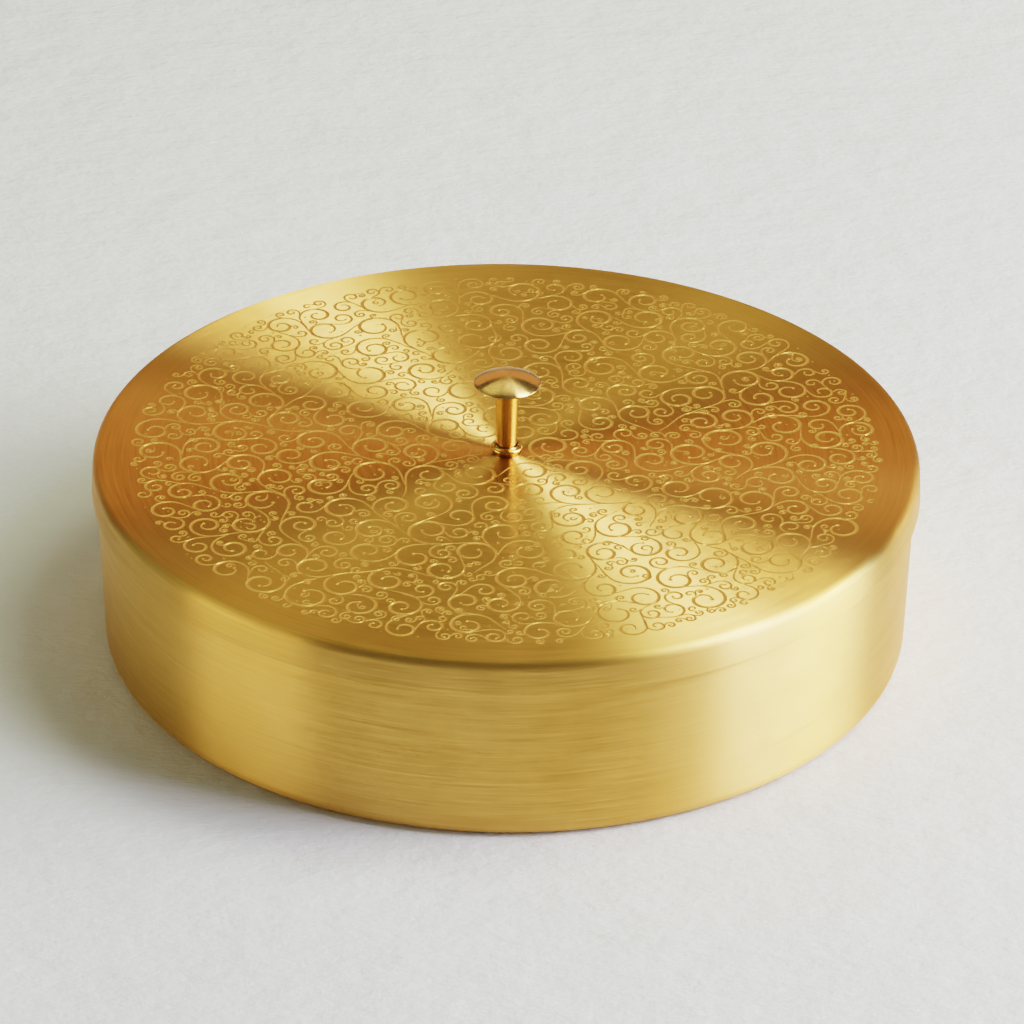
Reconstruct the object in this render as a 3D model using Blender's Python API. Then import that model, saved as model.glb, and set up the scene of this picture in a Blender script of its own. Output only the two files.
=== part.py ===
"""Spice box (masala dabba): a round brass box with a lift-off lid, seven loose cups and a spoon.

Metres, +Z up. The origin is the middle of the underside of the box, which stands on the ground.
The lid, the cups and the spoon each lift straight up, so their origins lie on vertical axes.
"""

import math

import bmesh
import bpy
from mathutils import Vector

MM = 0.001

# Gaps between pieces
SEAT_GAP = 0.3 * MM  # between two pieces where one sits on the other
BORE_GAP = 0.3 * MM  # between a shaft and the hole round it
LID_GAP = 0.4 * MM  # between the box and the lid's skirt
CUP_TO_CUP_GAP = 1.3 * MM
CUP_TO_BOX_GAP = 1.5 * MM

# Box
BOX_RIM_RADIUS = 106.8 * MM
BOX_TAPER = 1.5 * MM  # the foot is this much smaller in radius than the rim
BOX_DEPTH = 50.9 * MM
BOX_WALL = 0.9 * MM
BOX_CORNER = 4.0 * MM

# Lid
LID_WALL = 0.8 * MM
LID_SKIRT = 8.8 * MM
LID_SHOULDER = 1.8 * MM

# Knob, its collar, and the screw and washer that hold it from under the lid
KNOB_HEAD_RADIUS = 8.7 * MM
KNOB_HEAD_EDGE = 0.5 * MM
KNOB_DOME = 2.2 * MM
KNOB_UNDERSIDE = 2.4 * MM
KNOB_STEM_RADIUS = 2.6 * MM  # at the foot
KNOB_STEM_FLARE = 0.4 * MM  # the stem is this much thicker under the head
KNOB_STEM_LENGTH = 17.2 * MM
COLLAR_WALL = 1.3 * MM
COLLAR_HEIGHT = 2.2 * MM
SCREW_RADIUS = 1.3 * MM
SCREW_REACH = 9.0 * MM  # how far the shank goes up into the stem
SCREW_HEAD_RADIUS = 2.9 * MM
SCREW_HEAD_HEIGHT = 1.9 * MM
SCREW_SLOT_WIDTH = 0.8 * MM
SCREW_SLOT_DEPTH = 0.8 * MM
WASHER_RADIUS = 5.0 * MM
WASHER_THICKNESS = 0.8 * MM

# Cups
CUP_COUNT = 6  # round the one in the middle
CUP_HEADROOM = 11.7 * MM  # from the cups' rims up to the box's rim
CUP_WALL = 0.6 * MM
CUP_BEAD = 0.9 * MM  # radius of the rolled rim
CUP_TAPER = 1.2 * MM
CUP_CORNER = 5.0 * MM

# Spoon
SPOON_CUP = 2  # the cup whose mouth the spoon's bowl hangs in
SPOON_BOWL_RADIUS = 12.0 * MM
SPOON_BOWL_DEPTH = 7.5 * MM
SPOON_LENGTH = 118.0 * MM  # from the middle of the bowl to the handle's end
SPOON_THICKNESS = 1.1 * MM
SPOON_END_WIDTH = 8.0 * MM

# Facets
BOX_SIDES = 64
CUP_SIDES = 28
KNOB_SIDES = 24
SPOON_SIDES = 16
CORNER_STEPS = 3
BEAD_STEPS = 4
DOME_STEPS = 5
SPOON_RINGS = 4
HANDLE_STEPS = 8

FIRST_CUP_ANGLE = math.radians(-90)
MERGE = 1e-6
SHARP_ANGLE = math.radians(35)

LID_UNDERSIDE = BOX_DEPTH + SEAT_GAP
LID_TOP = LID_UNDERSIDE + LID_WALL
LID_RADIUS = BOX_RIM_RADIUS + LID_GAP + LID_WALL
KNOB_FOOT = LID_TOP + SEAT_GAP
SCREW_BORE_RADIUS = SCREW_RADIUS + BORE_GAP
CUP_FLOOR = BOX_WALL + SEAT_GAP
CUP_RIM = BOX_DEPTH - CUP_HEADROOM
BOX_INSIDE_RADIUS = BOX_RIM_RADIUS - BOX_TAPER - BOX_WALL
CUP_RADIUS = (BOX_INSIDE_RADIUS - CUP_TO_BOX_GAP - CUP_TO_CUP_GAP) / 3
CUP_RING_RADIUS = 2 * CUP_RADIUS + CUP_TO_CUP_GAP


def clear_scene():
    for old in list(bpy.data.objects):
        bpy.data.objects.remove(old, do_unlink=True)


def metal(name, colour, roughness):
    """A Principled metal, from its linear colour."""
    material = bpy.data.materials.new(name)
    material.use_nodes = True
    shader = material.node_tree.nodes["Principled BSDF"]
    shader.inputs["Base Color"].default_value = (*colour, 1.0)
    shader.inputs["Metallic"].default_value = 1.0
    shader.inputs["Roughness"].default_value = roughness
    return material


def box_brass():
    return metal("box_brass", (0.50, 0.31, 0.085), 0.32)


def lid_brass():
    return metal("lid_brass", (0.46, 0.27, 0.065), 0.34)


def knob_brass():
    return metal("knob_brass", (0.53, 0.32, 0.10), 0.18)


def collar_brass():
    return metal("collar_brass", (0.50, 0.29, 0.07), 0.25)


def cup_brass():
    return metal("cup_brass", (0.52, 0.33, 0.10), 0.28)


def spoon_brass():
    return metal("spoon_brass", (0.51, 0.31, 0.09), 0.24)


def washer_brass():
    return metal("washer_brass", (0.44, 0.27, 0.08), 0.36)


def screw_steel():
    return metal("screw_steel", (0.52, 0.51, 0.49), 0.35)


def arc(centre, radius, start, end, steps):
    """Points along an arc in the (radius, height) plane, with both ends. Angles are in degrees."""
    points = []
    for step in range(steps + 1):
        angle = math.radians(start + (end - start) * step / steps)
        points.append((centre[0] + radius * math.cos(angle), centre[1] + radius * math.sin(angle)))
    return points


def add_object(name, mesh, material, place=(0.0, 0.0, 0.0), turn=0.0):
    mesh.materials.append(material)
    piece = bpy.data.objects.new(name, mesh)
    piece.location = place
    piece.rotation_euler.z = turn
    bpy.context.scene.collection.objects.link(piece)
    return piece


def turned_mesh(name, outline, sides):
    """Spins an outline of (radius, height) points about Z. An outline off the axis is a closed loop."""
    shape = bmesh.new()
    corners = [shape.verts.new((radius, 0.0, height)) for radius, height in outline]
    edges = [shape.edges.new(pair) for pair in zip(corners, corners[1:])]
    if outline[0][0] > MERGE:
        edges.append(shape.edges.new((corners[-1], corners[0])))
    bmesh.ops.spin(
        shape,
        geom=corners + edges,
        cent=Vector(),
        axis=Vector((0.0, 0.0, 1.0)),
        angle=math.tau,
        steps=sides,
        use_merge=True,
    )
    bmesh.ops.remove_doubles(shape, verts=shape.verts, dist=MERGE)
    bmesh.ops.recalc_face_normals(shape, faces=shape.faces)
    return finished_mesh(name, shape)


def finished_mesh(name, shape):
    mesh = bpy.data.meshes.new(name)
    shape.to_mesh(mesh)
    shape.free()
    mesh.shade_smooth()
    mesh.set_sharp_from_angle(angle=SHARP_ANGLE)
    return mesh


def make_box():
    """The pan: flat base, rounded corner and a side that widens a little towards the rim."""
    foot = BOX_RIM_RADIUS - BOX_TAPER
    corner = (foot - BOX_CORNER, BOX_CORNER)
    outline = [(0.0, 0.0)]
    outline += arc(corner, BOX_CORNER, -90, 0, CORNER_STEPS)
    outline += [(BOX_RIM_RADIUS, BOX_DEPTH), (BOX_RIM_RADIUS - BOX_WALL, BOX_DEPTH)]
    outline += arc(corner, BOX_CORNER - BOX_WALL, 0, -90, CORNER_STEPS)
    outline += [(0.0, BOX_WALL)]
    return add_object("box_body", turned_mesh("box_body", outline, BOX_SIDES), box_brass())


def make_lid():
    """A flat disc with a rounded shoulder and a straight skirt that goes over the box's rim."""
    shoulder = (LID_RADIUS - LID_SHOULDER, LID_TOP - LID_SHOULDER)
    skirt_foot = LID_TOP - LID_SKIRT
    outline = [(SCREW_BORE_RADIUS, LID_UNDERSIDE), (SCREW_BORE_RADIUS, LID_TOP)]
    outline += arc(shoulder, LID_SHOULDER, 90, 0, CORNER_STEPS)
    outline += [(LID_RADIUS, skirt_foot), (LID_RADIUS - LID_WALL, skirt_foot)]
    outline += arc(shoulder, LID_SHOULDER - LID_WALL, 0, 90, CORNER_STEPS)
    return add_object("lid", turned_mesh("lid", outline, BOX_SIDES), lid_brass())


def knob_dome_points(rim_height):
    """The head's top: a shallow spherical dome, from its edge to the axis."""
    sphere_radius = (KNOB_HEAD_RADIUS**2 + KNOB_DOME**2) / (2 * KNOB_DOME)
    middle = (0.0, rim_height + KNOB_DOME - sphere_radius)
    edge_angle = math.degrees(math.acos(KNOB_HEAD_RADIUS / sphere_radius))
    points = arc(middle, sphere_radius, edge_angle, 90, DOME_STEPS)
    points[-1] = (0.0, rim_height + KNOB_DOME)
    return points


def make_knob(lid):
    """Turned in one piece: a thin domed head that runs down in a cone to a slim stem, bored from below."""
    stem_top = KNOB_FOOT + KNOB_STEM_LENGTH
    edge_foot = stem_top + KNOB_UNDERSIDE
    bore_top = KNOB_FOOT + SCREW_REACH + SEAT_GAP
    outline = [(0.0, bore_top), (SCREW_BORE_RADIUS, bore_top), (SCREW_BORE_RADIUS, KNOB_FOOT)]
    outline += [(KNOB_STEM_RADIUS, KNOB_FOOT), (KNOB_STEM_RADIUS, KNOB_FOOT + COLLAR_HEIGHT)]
    outline += [(KNOB_STEM_RADIUS + KNOB_STEM_FLARE, stem_top), (KNOB_HEAD_RADIUS, edge_foot)]
    outline += knob_dome_points(edge_foot + KNOB_HEAD_EDGE)
    knob = add_object("knob", turned_mesh("knob", outline, KNOB_SIDES), knob_brass())
    knob.parent = lid


def make_collar(lid):
    """The ring round the foot of the stem."""
    inside = KNOB_STEM_RADIUS + BORE_GAP
    outside = inside + COLLAR_WALL
    top = KNOB_FOOT + COLLAR_HEIGHT
    chamfer = COLLAR_WALL / 3
    outline = [(inside, KNOB_FOOT), (outside, KNOB_FOOT), (outside, top - chamfer)]
    outline += [(outside - chamfer, top), (inside, top)]
    collar = add_object("knob_collar", turned_mesh("knob_collar", outline, KNOB_SIDES), collar_brass())
    collar.parent = lid


def make_washer(lid):
    top = LID_UNDERSIDE - SEAT_GAP
    foot = top - WASHER_THICKNESS
    outline = [(SCREW_BORE_RADIUS, foot), (WASHER_RADIUS, foot)]
    outline += [(WASHER_RADIUS, top), (SCREW_BORE_RADIUS, top)]
    washer = add_object("knob_washer", turned_mesh("knob_washer", outline, KNOB_SIDES), washer_brass())
    washer.parent = lid


def make_screw(lid):
    """Cheese-head screw, driven upwards through the washer and the lid into the stem."""
    seat = LID_UNDERSIDE - 2 * SEAT_GAP - WASHER_THICKNESS
    foot = seat - SCREW_HEAD_HEIGHT
    tip = KNOB_FOOT + SCREW_REACH
    outline = [(0.0, foot), (SCREW_HEAD_RADIUS, foot), (SCREW_HEAD_RADIUS, seat)]
    outline += [(SCREW_RADIUS, seat), (SCREW_RADIUS, tip), (0.0, tip)]
    screw = add_object("knob_screw", turned_mesh("knob_screw", outline, KNOB_SIDES), screw_steel())
    screw.parent = lid
    cut_slot(screw, foot)


def cut_slot(screw, foot):
    """The driver slot across the head's lower face."""
    shape = bmesh.new()
    bmesh.ops.create_cube(shape, size=1.0)
    size = Vector((4 * SCREW_HEAD_RADIUS, SCREW_SLOT_WIDTH, 2 * SCREW_SLOT_DEPTH))
    bmesh.ops.scale(shape, vec=size, verts=shape.verts)
    cutter = add_object("slot_cutter", finished_mesh("slot_cutter", shape), screw_steel(), (0.0, 0.0, foot))
    cutter.hide_render = True
    cutter.display_type = "WIRE"
    cut = screw.modifiers.new("driver_slot", "BOOLEAN")
    cut.operation = "DIFFERENCE"
    cut.object = cutter


def cup_outline():
    """A straight-sided cup with a rounded foot and its rim rolled outwards, about its own axis."""
    bead = (CUP_RADIUS - CUP_BEAD, CUP_RIM - CUP_BEAD)
    bead_start = -math.degrees(math.acos((CUP_WALL - CUP_BEAD) / CUP_BEAD))
    foot = CUP_RADIUS - 2 * CUP_BEAD + CUP_WALL - CUP_TAPER
    corner = (foot - CUP_CORNER, CUP_FLOOR + CUP_CORNER)
    outline = [(0.0, CUP_FLOOR)]
    outline += arc(corner, CUP_CORNER, -90, 0, CORNER_STEPS)
    outline += arc(bead, CUP_BEAD, bead_start, 180, BEAD_STEPS)
    outline += arc(corner, CUP_CORNER - CUP_WALL, 0, -90, CORNER_STEPS)
    outline += [(0.0, CUP_FLOOR + CUP_WALL)]
    return outline


def cup_place(number):
    """The middle of a cup: number 0 is in the middle of the box, the others are in the ring."""
    if number == 0:
        return Vector((0.0, 0.0, 0.0))
    angle = FIRST_CUP_ANGLE + math.tau * (number - 1) / CUP_COUNT
    return Vector((CUP_RING_RADIUS * math.cos(angle), CUP_RING_RADIUS * math.sin(angle), 0.0))


def make_cups():
    mesh = turned_mesh("cup", cup_outline(), CUP_SIDES)
    material = cup_brass()
    for number in range(CUP_COUNT + 1):
        name = f"cup_{number}" if number else "cup_center"
        cup = bpy.data.objects.new(name, mesh)
        cup.location = cup_place(number)
        bpy.context.scene.collection.objects.link(cup)
    mesh.materials.append(material)


def spoon_bowl(shape):
    """A dished round sheet. It returns its outer ring of corners, of which the first and last face +X."""
    middle = shape.verts.new((0.0, 0.0, -SPOON_BOWL_DEPTH))
    inner = None
    for ring in range(1, SPOON_RINGS + 1):
        share = ring / SPOON_RINGS
        radius = SPOON_BOWL_RADIUS * share
        height = -SPOON_BOWL_DEPTH * (1 - share * share)
        corners = []
        for side in range(SPOON_SIDES):
            angle = math.tau * (side + 0.5) / SPOON_SIDES
            corners.append(shape.verts.new((radius * math.cos(angle), radius * math.sin(angle), height)))
        for side in range(SPOON_SIDES):
            after = (side + 1) % SPOON_SIDES
            if inner:
                shape.faces.new((inner[side], corners[side], corners[after], inner[after]))
            else:
                shape.faces.new((middle, corners[side], corners[after]))
        inner = corners
    return inner


def spoon_handle(shape, left, right):
    """A flat strip from the bowl's edge that widens towards its rounded end."""
    start = left.co.x
    neck = left.co.y
    for step in range(1, HANDLE_STEPS + 1):
        share = step / HANDLE_STEPS
        along = start + (SPOON_LENGTH - start) * math.sin(share * math.pi / 2)
        widening = neck + (SPOON_END_WIDTH / 2 - neck) * share * share
        half_width = widening if step < HANDLE_STEPS else widening / 2
        next_left = shape.verts.new((along, half_width, 0.0))
        next_right = shape.verts.new((along, -half_width, 0.0))
        shape.faces.new((left, right, next_right, next_left))
        left = next_left
        right = next_right


def make_spoon():
    """Pressed from sheet. Its bowl hangs in one cup's mouth and its handle lies across the rims."""
    shape = bmesh.new()
    rim = spoon_bowl(shape)
    spoon_handle(shape, rim[0], rim[-1])
    bmesh.ops.recalc_face_normals(shape, faces=shape.faces)
    if sum(face.normal.z for face in shape.faces) < 0:
        bmesh.ops.reverse_faces(shape, faces=shape.faces)
    place = cup_place(SPOON_CUP)
    towards_middle = math.atan2(-place.y, -place.x)
    place.z = CUP_RIM + SEAT_GAP + SPOON_THICKNESS
    spoon = add_object("spoon", finished_mesh("spoon", shape), spoon_brass(), place, towards_middle)
    sheet = spoon.modifiers.new("sheet", "SOLIDIFY")
    sheet.thickness = SPOON_THICKNESS
    sheet.offset = -1.0
    sheet.use_rim = True


def main():
    clear_scene()
    make_box()
    lid = make_lid()
    make_knob(lid)
    make_collar(lid)
    make_washer(lid)
    make_screw(lid)
    make_cups()
    make_spoon()


main()
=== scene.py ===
"""Brass spice box: an engraved lid on a slim turned knob, seven spun cups and a small spoon.

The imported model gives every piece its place. Each operator below makes one piece, or one group of like
pieces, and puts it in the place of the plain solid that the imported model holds.
"""

import math
import random

import bmesh
import bpy
from bpy.props import FloatProperty, FloatVectorProperty, IntProperty, PointerProperty
from bpy.types import Operator, Panel, PropertyGroup
from mathutils import Matrix, Vector, kdtree
from mathutils.geometry import delaunay_2d_cdt


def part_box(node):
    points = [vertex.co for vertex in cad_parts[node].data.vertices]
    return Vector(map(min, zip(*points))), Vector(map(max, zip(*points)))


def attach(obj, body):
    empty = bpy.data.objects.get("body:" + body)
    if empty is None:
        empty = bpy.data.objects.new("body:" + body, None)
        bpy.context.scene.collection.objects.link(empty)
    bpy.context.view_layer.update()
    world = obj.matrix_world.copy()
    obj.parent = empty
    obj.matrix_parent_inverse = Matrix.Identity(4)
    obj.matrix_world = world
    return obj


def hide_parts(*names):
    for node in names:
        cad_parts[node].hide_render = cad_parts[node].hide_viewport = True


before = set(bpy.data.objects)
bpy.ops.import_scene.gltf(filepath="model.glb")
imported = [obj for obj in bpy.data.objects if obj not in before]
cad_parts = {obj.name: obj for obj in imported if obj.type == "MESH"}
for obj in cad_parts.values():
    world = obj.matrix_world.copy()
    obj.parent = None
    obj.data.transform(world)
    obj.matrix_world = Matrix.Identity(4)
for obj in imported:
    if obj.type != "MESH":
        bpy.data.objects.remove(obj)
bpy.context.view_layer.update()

bl_info = {
    "name": "Brass Spice Box",
    "version": (1, 0, 0),
    "blender": (4, 5, 0),
    "location": "3D View > Sidebar > Spice Box",
    "description": "Makes a spun brass spice box with an engraved lid, cups and a spoon",
    "category": "Add Mesh",
}

MM = 0.001
WELD = 2e-6  # points nearer than this are one point
SWING = 0.1  # radius of the circle that a turned outline is carried round

LID_LOW, LID_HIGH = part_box("lid")
BOX_LOW, BOX_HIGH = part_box("box_body")
KNOB_LOW, KNOB_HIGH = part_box("knob")
COLLAR_LOW, COLLAR_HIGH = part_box("knob_collar")
WASHER_LOW, WASHER_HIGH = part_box("knob_washer")
SCREW_LOW, SCREW_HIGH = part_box("knob_screw")
SPOON_LOW, SPOON_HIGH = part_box("spoon")
CUPS = ["cup_center"] + [f"cup_{number}" for number in range(1, 7)]
SPOON_CUP = "cup_2"

SCREW_BORE = 1.6 * MM  # radius of the screw's hole in the lid, the knob and the washer
SMALL_SIDES = 96  # facets round the knob, collar and washer
CUP_SIDES = 128
SCREW_SIDES = 72


def middle(node):
    """The point on the table under the middle of a node."""
    low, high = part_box(node)
    return Vector(((low[0] + high[0]) / 2, (low[1] + high[1]) / 2, 0.0))


# ---------------------------------------------------------------- sizes and colours


class SpiceBoxSizes(PropertyGroup):
    """Sizes that a maker would change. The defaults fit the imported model."""

    box_wall: FloatProperty(
        name="Box wall", description="Thickness of the box's sheet", default=0.9 * MM, unit="LENGTH"
    )
    box_taper: FloatProperty(
        name="Box taper", description="How much narrower the foot is", default=1.5 * MM, unit="LENGTH"
    )
    box_corner: FloatProperty(
        name="Box corner", description="Outer radius at the foot", default=4.0 * MM, unit="LENGTH"
    )
    lid_wall: FloatProperty(
        name="Lid wall", description="Thickness of the lid's sheet", default=0.8 * MM, unit="LENGTH"
    )
    lid_shoulder: FloatProperty(
        name="Lid shoulder", description="Outer radius of the lid's edge", default=2.3 * MM, unit="LENGTH"
    )
    lid_lean: FloatProperty(
        name="Lid lean", description="How far the skirt spreads at its foot", default=0.32 * MM, unit="LENGTH"
    )
    engraved_radius: FloatProperty(
        name="Engraved radius", description="How far out the scrolls reach", default=98.0 * MM, unit="LENGTH"
    )
    engraved_depth: FloatProperty(
        name="Engraving depth", description="Depth of a cut 0.9 mm wide", default=0.24 * MM, unit="LENGTH"
    )
    engraving_seed: IntProperty(name="Engraving seed", description="Chooses the scrolls", default=5, min=0)
    cup_wall: FloatProperty(
        name="Cup wall", description="Thickness of a cup's sheet", default=0.6 * MM, unit="LENGTH"
    )
    cup_bead: FloatProperty(
        name="Cup bead", description="Radius of a cup's rolled rim", default=0.9 * MM, unit="LENGTH"
    )
    sides: IntProperty(name="Sides", description="Facets round the lid and box", default=256, min=48)


class SpiceBoxFinish(PropertyGroup):
    """Colours of the metals and the table."""

    brass: FloatVectorProperty(
        name="Brass", description="Brushed brass", subtype="COLOR", default=(0.80, 0.485, 0.155)
    )
    worn_brass: FloatVectorProperty(
        name="Toned brass", description="Brass that has toned", subtype="COLOR", default=(0.70, 0.395, 0.105)
    )
    rose_brass: FloatVectorProperty(
        name="Knob brass", description="The knob's redder brass", subtype="COLOR", default=(0.84, 0.55, 0.26)
    )
    steel: FloatVectorProperty(
        name="Screw steel", description="Plated steel", subtype="COLOR", default=(0.60, 0.59, 0.57)
    )
    floor: FloatVectorProperty(
        name="Floor", description="The pale plaster table", subtype="COLOR", default=(0.72, 0.733, 0.68)
    )


# ---------------------------------------------------------------- materials
# Scales are in cycles for each metre, and the lines' heights are in metres.

FINE_LINES = 2700.0
BROAD_LINES = 1150.0
FROST = 5200.0


class Nodes:
    """Adds nodes to one tree and joins them up."""

    def __init__(self, tree):
        self.tree = tree

    def add(self, kind, inputs=None, **settings):
        node = self.tree.nodes.new(kind)
        for name, value in settings.items():
            setattr(node, name, value)
        for name, value in (inputs or {}).items():
            self.set(node.inputs[name], value)
        return node

    def set(self, socket, value):
        if isinstance(value, bpy.types.NodeSocket):
            self.tree.links.new(value, socket)
        else:
            socket.default_value = value

    def math(self, operation, first, second=0.0):
        return self.add("ShaderNodeMath", {0: first, 1: second}, operation=operation).outputs[0]

    def remap(self, value, low, high, to_low, to_high):
        sockets = {"Value": value, "From Min": low, "From Max": high, "To Min": to_low, "To Max": to_high}
        return self.add("ShaderNodeMapRange", sockets).outputs["Result"]

    def blend(self, share, first, second):
        mixer = self.add("ShaderNodeMix", {0: share}, data_type="RGBA")
        self.set(mixer.inputs[6], first)
        self.set(mixer.inputs[7], second)
        return mixer.outputs[2]

    def noise(self, vector, scale, detail=3.0, roughness=0.55, **sockets):
        inputs = {"Vector": vector, "Scale": scale, "Detail": detail, "Roughness": roughness}
        inputs.update(sockets)
        dimensions = "4D" if "W" in sockets else "3D"
        return self.add("ShaderNodeTexNoise", inputs, noise_dimensions=dimensions).outputs["Fac"]


def new_material(name):
    """A new material, its nodes and its shader."""
    material = bpy.data.materials.new(name)
    material.use_nodes = True
    shader = material.node_tree.nodes["Principled BSDF"]
    return material, Nodes(material.node_tree), shader


def spun_metal(name, colour, toned, roughness, centre=(0.0, 0.0, 0.0), brushing=1.0, anisotropic=0.8):
    """Sheet metal brushed while it turned: fine rings on flat faces and fine level lines on upright ones."""
    material, nodes, shader = new_material(name)
    place = nodes.add("ShaderNodeTexCoord").outputs["Object"]
    minus = [-part for part in centre]
    local = nodes.add("ShaderNodeMapping", {"Vector": place, "Location": minus}).outputs["Vector"]
    parts = nodes.add("ShaderNodeSeparateXYZ", {"Vector": local})
    flat = nodes.add("ShaderNodeCombineXYZ", {"X": parts.outputs["X"], "Y": parts.outputs["Y"]})
    radius = nodes.add("ShaderNodeVectorMath", {0: flat.outputs[0]}, operation="LENGTH").outputs["Value"]
    facing = nodes.add("ShaderNodeVectorMath", {0: flat.outputs[0]}, operation="NORMALIZE").outputs["Vector"]
    facing = nodes.add("ShaderNodeSeparateXYZ", {"Vector": facing})

    def ring_lines(fineness, breaks):
        """Noise drawn out along the rings. More breaks give shorter lines."""
        around = [nodes.math("MULTIPLY", facing.outputs[axis], breaks) for axis in ("X", "Y")]
        out = nodes.math("MULTIPLY", radius, fineness)
        vector = nodes.add("ShaderNodeCombineXYZ", {"X": out, "Y": around[0], "Z": around[1]}).outputs[0]
        height = nodes.math("MULTIPLY", parts.outputs["Z"], fineness)
        return nodes.noise(vector, 1.0, detail=2.0, W=height)

    fine = ring_lines(FINE_LINES, 6.0)
    broad = ring_lines(BROAD_LINES, 3.0)
    tone = nodes.noise(local, 26.0, detail=4.0)
    smudge = nodes.noise(local, 75.0, detail=5.0, roughness=0.62)
    lines = nodes.math("ADD", nodes.math("MULTIPLY", fine, 0.7), nodes.math("MULTIPLY", broad, 0.3))
    tone_share = nodes.remap(tone, 0.38, 0.72, 0.0, 0.55)
    line_share = nodes.remap(lines, 0.35, 0.65, 0.0, 0.55)
    share = nodes.math("ADD", tone_share, line_share)
    surface = nodes.blend(share, (*colour, 1.0), (*toned, 1.0))
    rough = nodes.remap(lines, 0.35, 0.65, roughness - 0.05, roughness + 0.05)
    nodes.set(shader.inputs["Base Color"], surface)
    rough = nodes.math("ADD", rough, nodes.remap(smudge, 0.4, 0.75, -0.012, 0.035))
    nodes.set(shader.inputs["Roughness"], rough)
    bump = nodes.add("ShaderNodeBump", {"Height": lines, "Strength": 0.16 * brushing, "Distance": 0.00006})
    nodes.set(shader.inputs["Normal"], bump.outputs["Normal"])
    tangent = nodes.add("ShaderNodeTangent", direction_type="RADIAL", axis="Z")
    nodes.set(shader.inputs["Tangent"], tangent.outputs["Tangent"])
    shader.inputs["Metallic"].default_value = 1.0
    shader.inputs["Anisotropic"].default_value = anisotropic
    shader.inputs["Anisotropic Rotation"].default_value = 0.25
    return material


def etched_metal(name, colour, toned, roughness):
    """The frosted floor of an etched stroke."""
    material, nodes, shader = new_material(name)
    place = nodes.add("ShaderNodeTexCoord").outputs["Object"]
    frost = nodes.noise(place, FROST, detail=3.0)
    tone = nodes.noise(place, 60.0, detail=3.0)
    share = nodes.math("ADD", nodes.remap(tone, 0.35, 0.7, 0.0, 0.3), nodes.remap(frost, 0.35, 0.7, 0.0, 0.4))
    nodes.set(shader.inputs["Base Color"], nodes.blend(share, (*colour, 1.0), (*toned, 1.0)))
    nodes.set(shader.inputs["Roughness"], nodes.remap(frost, 0.3, 0.7, roughness - 0.05, roughness + 0.06))
    bump = nodes.add("ShaderNodeBump", {"Height": frost, "Strength": 0.2, "Distance": 0.00003})
    nodes.set(shader.inputs["Normal"], bump.outputs["Normal"])
    shader.inputs["Metallic"].default_value = 1.0
    return material


def polished_metal(name, colour, toned, roughness):
    """Turned and buffed metal with faint swirls and a few hairline scratches."""
    material, nodes, shader = new_material(name)
    place = nodes.add("ShaderNodeTexCoord").outputs["Object"]
    tone = nodes.noise(place, 160.0, detail=4.0)
    stretch = nodes.add("ShaderNodeMapping", {"Vector": place, "Scale": (300.0, 300.0, 4200.0)})
    hair = nodes.noise(stretch.outputs["Vector"], 1.0, detail=3.0)
    colour_share = nodes.remap(tone, 0.35, 0.7, 0.0, 0.6)
    nodes.set(shader.inputs["Base Color"], nodes.blend(colour_share, (*colour, 1.0), (*toned, 1.0)))
    nodes.set(shader.inputs["Roughness"], nodes.remap(tone, 0.3, 0.7, roughness - 0.02, roughness + 0.04))
    bump = nodes.add("ShaderNodeBump", {"Height": hair, "Strength": 0.05, "Distance": 0.00005})
    nodes.set(shader.inputs["Normal"], bump.outputs["Normal"])
    shader.inputs["Metallic"].default_value = 1.0
    return material


def plaster(name, colour):
    """The table top: pale trowelled plaster with soft clouding and shallow pits."""
    material, nodes, shader = new_material(name)
    place = nodes.add("ShaderNodeTexCoord").outputs["Object"]
    cloud = nodes.noise(place, 3.5, detail=5.0)
    grain = nodes.noise(place, 55.0, detail=8.0, roughness=0.65)
    shade = nodes.remap(cloud, 0.3, 0.7, 0.0, 1.0)
    dark = [part * 0.93 for part in colour]
    nodes.set(shader.inputs["Base Color"], nodes.blend(shade, (*colour, 1.0), (*dark, 1.0)))
    strokes = {"Vector": place, "Scale": (5.0, 14.0, 5.0), "Rotation": (0.0, 0.0, 0.5)}
    trowel = nodes.add("ShaderNodeMapping", strokes)
    sweep = nodes.noise(trowel.outputs["Vector"], 1.6, detail=6.0, roughness=0.7)
    height = nodes.math("ADD", nodes.math("MULTIPLY", grain, 0.5), nodes.math("MULTIPLY", sweep, 1.2))
    bump = nodes.add("ShaderNodeBump", {"Height": height, "Strength": 0.6, "Distance": 0.0035})
    nodes.set(shader.inputs["Normal"], bump.outputs["Normal"])
    nodes.set(shader.inputs["Roughness"], nodes.remap(grain, 0.3, 0.7, 0.62, 0.8))
    return material


# ---------------------------------------------------------------- turned pieces


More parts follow.
